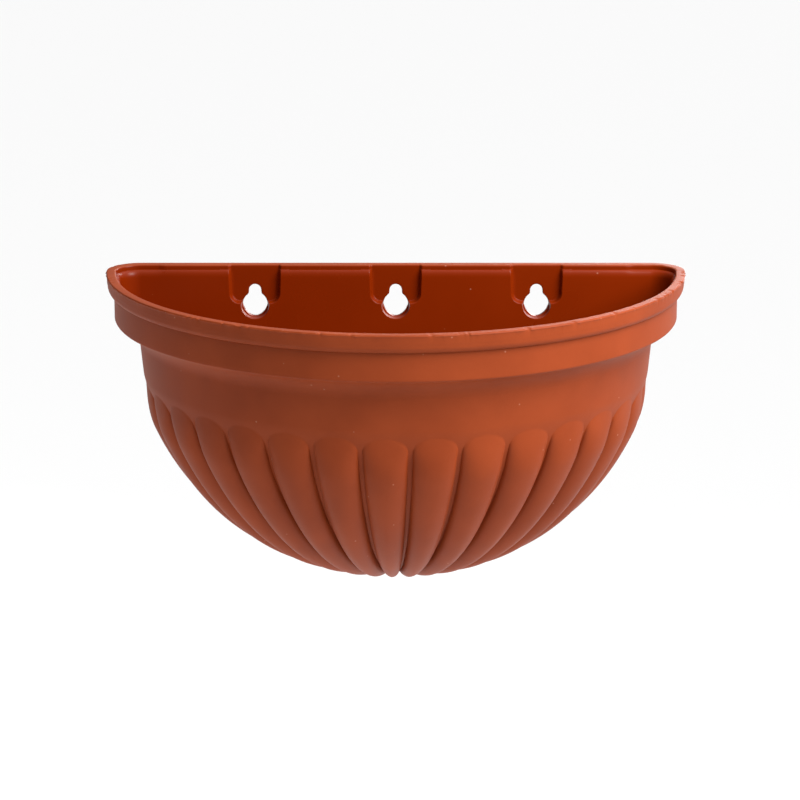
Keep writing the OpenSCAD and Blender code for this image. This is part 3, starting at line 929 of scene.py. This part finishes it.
def add_node(tree, kind, links=(), **values):
    """A node of a tree, with some inputs linked and others set. A value's name is its socket's."""
    node = tree.nodes.new(kind)
    for name, value in values.items():
        node.inputs[name.replace("_", " ")].default_value = value
    for socket, source in links:
        tree.links.new(source, node.inputs[socket])
    return node


def maths(tree, operation, first, second):
    """The result of a maths node on a socket and a second socket or number."""
    node = add_node(tree, "ShaderNodeMath", [(0, first)])
    node.operation = operation
    if isinstance(second, float):
        node.inputs[1].default_value = second
    else:
        tree.links.new(second, node.inputs[1])
    return node.outputs["Value"]


# %% Dust specks
DUST_SCALE = 210.0
DUST_EDGE, DUST_CORE = 0.085, 0.04
DUST_CHANCE = 0.8
DUST_STRENGTH = 0.3
DUST_COLOUR = (0.62, 0.34, 0.24, 1)


def dust_over(tree, place, tone):
    """A colour with pale specks on it, few and far between."""
    cells = add_node(tree, "ShaderNodeTexVoronoi", [("Vector", place)], Scale=DUST_SCALE)
    speck = add_node(tree, "ShaderNodeMapRange", [("Value", cells.outputs["Distance"])],
                     From_Min=DUST_EDGE, From_Max=DUST_CORE)
    lot = add_node(tree, "ShaderNodeSeparateColor", [("Color", cells.outputs["Color"])])
    chosen = maths(tree, "GREATER_THAN", lot.outputs["Red"], DUST_CHANCE)
    shown = maths(tree, "MULTIPLY", speck.outputs["Result"], chosen)
    dusted = add_node(tree, "ShaderNodeMix")
    dusted.data_type = "RGBA"
    dusted.inputs["B"].default_value = DUST_COLOUR
    tree.links.new(maths(tree, "MULTIPLY", shown, DUST_STRENGTH), dusted.inputs["Factor"])
    tree.links.new(tone, dusted.inputs["A"])
    return dusted.outputs["Result"]


print("specks are up to", round(1000 * 2 * DUST_EDGE / DUST_SCALE, 2), "mm wide")

# %% The two finishes
CLOUD_SCALE, CLOUD_DETAIL = 38.0, 5.0
CLOUD_DARK, CLOUD_LIGHT = 0.3, 0.72
GRAIN_SCALE, GRAIN_DETAIL = 1400.0, 3.0
GRAIN_HEIGHT = 0.0001
ROUGH_SPREAD = 0.05


def plastic(name, dark, light, roughness, specular, bump):
    """A moulded plastic with cloudy tone, fine grain, a soft gloss and a little dust."""
    material = bpy.data.materials.new(name)
    material.use_nodes = True
    tree = material.node_tree
    shader = tree.nodes["Principled BSDF"]
    shader.inputs["Specular IOR Level"].default_value = specular
    place = add_node(tree, "ShaderNodeTexCoord").outputs["Object"]
    clouds = add_node(tree, "ShaderNodeTexNoise", [("Vector", place)], Scale=CLOUD_SCALE, Detail=CLOUD_DETAIL)
    cloud = clouds.outputs["Fac"]
    tone = add_node(tree, "ShaderNodeValToRGB", [("Fac", cloud)])
    for stop, position, colour in zip(tone.color_ramp.elements, (CLOUD_DARK, CLOUD_LIGHT), (dark, light)):
        stop.position, stop.color = position, (*colour, 1)
    rough = add_node(tree, "ShaderNodeMapRange", [("Value", cloud)],
                     To_Min=roughness - ROUGH_SPREAD, To_Max=roughness + ROUGH_SPREAD)
    grain = add_node(tree, "ShaderNodeTexNoise", [("Vector", place)], Scale=GRAIN_SCALE, Detail=GRAIN_DETAIL)
    bumps = add_node(tree, "ShaderNodeBump", [("Height", grain.outputs["Fac"])], Strength=bump, Distance=GRAIN_HEIGHT)
    tree.links.new(dust_over(tree, place, tone.outputs["Color"]), shader.inputs["Base Color"])
    tree.links.new(rough.outputs["Result"], shader.inputs["Roughness"])
    tree.links.new(bumps.outputs["Normal"], shader.inputs["Normal"])
    return material


outside = plastic("matte_terracotta", dark=(0.215, 0.0335, 0.0068), light=(0.265, 0.044, 0.0102),
                  roughness=0.55, specular=0.11, bump=0.3)
inside = plastic("smooth_terracotta", dark=(0.175, 0.0145, 0.0002), light=(0.195, 0.0165, 0.0003),
                 roughness=0.28, specular=0.14, bump=0.08)
for piece in (rim, lower_band, body):
    piece.data.materials.append(outside)
    piece.data.materials.append(inside)
for piece in [back_plate] + pads:
    piece.data.materials.append(inside)
    piece.data.materials.append(outside)
print("finishes:", outside.name, "and", inside.name)

# %% [markdown]
# ## Camera
# The photograph was taken from about a metre away with a long lens, a little above the rim. The
# camera stands on the planter's middle plane and looks down at the back edge of its rim, which
# lies above the middle of the picture. So the frame is shifted down with the lens, instead of
# tilting the camera further, which would change the perspective.

# %% Set up the camera
PICTURE = 800
SENSOR_W = 36.0
FOCAL_PX = 2932.0
CAMERA_DISTANCE = 1100.0
CAMERA_RISE = math.radians(12.4)
CAMERA_PITCH = math.radians(12.36)
CENTRE_X, CENTRE_Y = 395.7, 260.5
lens_data = bpy.data.cameras.new("camera")
lens_data.sensor_width = SENSOR_W
lens_data.lens = FOCAL_PX * SENSOR_W / PICTURE
lens_data.shift_x = (PICTURE / 2 - CENTRE_X) / PICTURE
lens_data.shift_y = (CENTRE_Y - PICTURE / 2) / PICTURE
lens_data.clip_start, lens_data.clip_end = 0.01, 50
camera = bpy.data.objects.new("camera", lens_data)
bpy.context.scene.collection.objects.link(camera)
stand = (0, -CAMERA_DISTANCE * math.cos(CAMERA_RISE), CAMERA_DISTANCE * math.sin(CAMERA_RISE))
camera.location = to_row(stand)[0]
camera.rotation_euler = (math.pi / 2 - CAMERA_PITCH, 0, 0)
bpy.context.scene.camera = camera
print("camera at", [round(v, 3) for v in camera.location], "lens", round(lens_data.lens, 1), "mm")

# %% [markdown]
# ## Floor
# The planter hangs in front of plain white. A large pale floor lies well below it. It fills the
# picture behind the planter and throws soft light up onto the underside of the bowl, as a white
# studio table does.

# %% Lay the floor
FLOOR_DROP = 0.32
FLOOR_REACH = 12.0
FLOOR_PALE = (0.9, 0.9, 0.9, 1)
FLOOR_ROUGH = 0.9
floor_z = cad_low.z - FLOOR_DROP
floor_corners = [(x * FLOOR_REACH, y * FLOOR_REACH, floor_z) for x, y in ((-1, -1), (1, -1), (1, 1), (-1, 1))]
floor_mesh = bpy.data.meshes.new("floor")
floor_mesh.from_pydata(floor_corners, [], [(0, 1, 2, 3)])
floor = bpy.data.objects.new("floor", floor_mesh)
bpy.context.scene.collection.objects.link(floor)
paper = bpy.data.materials.new("pale_floor")
paper.use_nodes = True
paper.node_tree.nodes["Principled BSDF"].inputs["Base Color"].default_value = FLOOR_PALE
paper.node_tree.nodes["Principled BSDF"].inputs["Roughness"].default_value = FLOOR_ROUGH
floor_mesh.materials.append(paper)
print("floor at z =", round(floor_z, 3))

# %% [markdown]
# ## The light of the room
# The real light is soft and comes mostly from above and from the right. A studio would hang
# large white screens there. The world can stand in for them: its strength grows with how well a
# direction agrees with a tilted upward one. Seen straight by the camera, the room is plain white.

# %% A room that is brighter above and on the right
WALL_LIGHT = 0.16
CEILING_LIGHT = 2.2
ROOM_TILT = (0.42, 0.05, 0.90)
world = bpy.data.worlds.new("white_room")
world.use_nodes = True
room_tree = world.node_tree
room = room_tree.nodes["Background"]
room.inputs["Color"].default_value = (1, 1, 1, 1)
direction = add_node(room_tree, "ShaderNodeTexCoord").outputs["Generated"]
agreement = add_node(room_tree, "ShaderNodeVectorMath", [(0, direction)])
agreement.operation = "DOT_PRODUCT"
agreement.inputs[1].default_value = ROOM_TILT
share = add_node(room_tree, "ShaderNodeMapRange", [("Value", agreement.outputs["Value"])]).outputs["Result"]
glow = add_node(room_tree, "ShaderNodeMapRange", [("Value", maths(room_tree, "MULTIPLY", share, share))],
                To_Min=WALL_LIGHT, To_Max=CEILING_LIGHT)
sight = add_node(room_tree, "ShaderNodeLightPath").outputs["Is Camera Ray"]
seen = add_node(room_tree, "ShaderNodeMapRange", [("Value", sight), ("To Min", glow.outputs["Result"])])
room_tree.links.new(seen.outputs["Result"], room.inputs["Strength"])
bpy.context.scene.world = world
print("the room's strength runs from", WALL_LIGHT, "to", CEILING_LIGHT)

# %% [markdown]
# ## Two soft lamps
# A near lamp in front on the right makes the warm side and lets the light fall off toward the
# left, as in the photograph. A second one far behind on the right puts a sheen on the lip and
# on the edges of the lobes. Both are square area lights, so their shadows stay soft.

# %% Place the lamps
MIDDLE = (0, -0.05, -0.03)


def soft_light(name, place, size, watts):
    """A square area light that faces the middle of the planter."""
    data = bpy.data.lights.new(name, "AREA")
    data.energy, data.size = watts, size
    lamp = bpy.data.objects.new(name, data)
    lamp.location = place
    aim = np.array(MIDDLE) - np.array(place)
    tilt = math.atan2(math.hypot(aim[0], aim[1]), -aim[2])
    lamp.rotation_euler = (tilt, 0, math.atan2(aim[1], aim[0]) - math.pi / 2)
    bpy.context.scene.collection.objects.link(lamp)
    print(name, "lamp", round(float(np.linalg.norm(aim)), 2), "m away,", watts, "W")


soft_light("key", place=(0.28, -0.25, 0.26), size=0.28, watts=3.2)
soft_light("edge", place=(0.33, 0.72, 0.2), size=0.45, watts=4.5)
bpy.context.scene.view_settings.view_transform = "Standard"
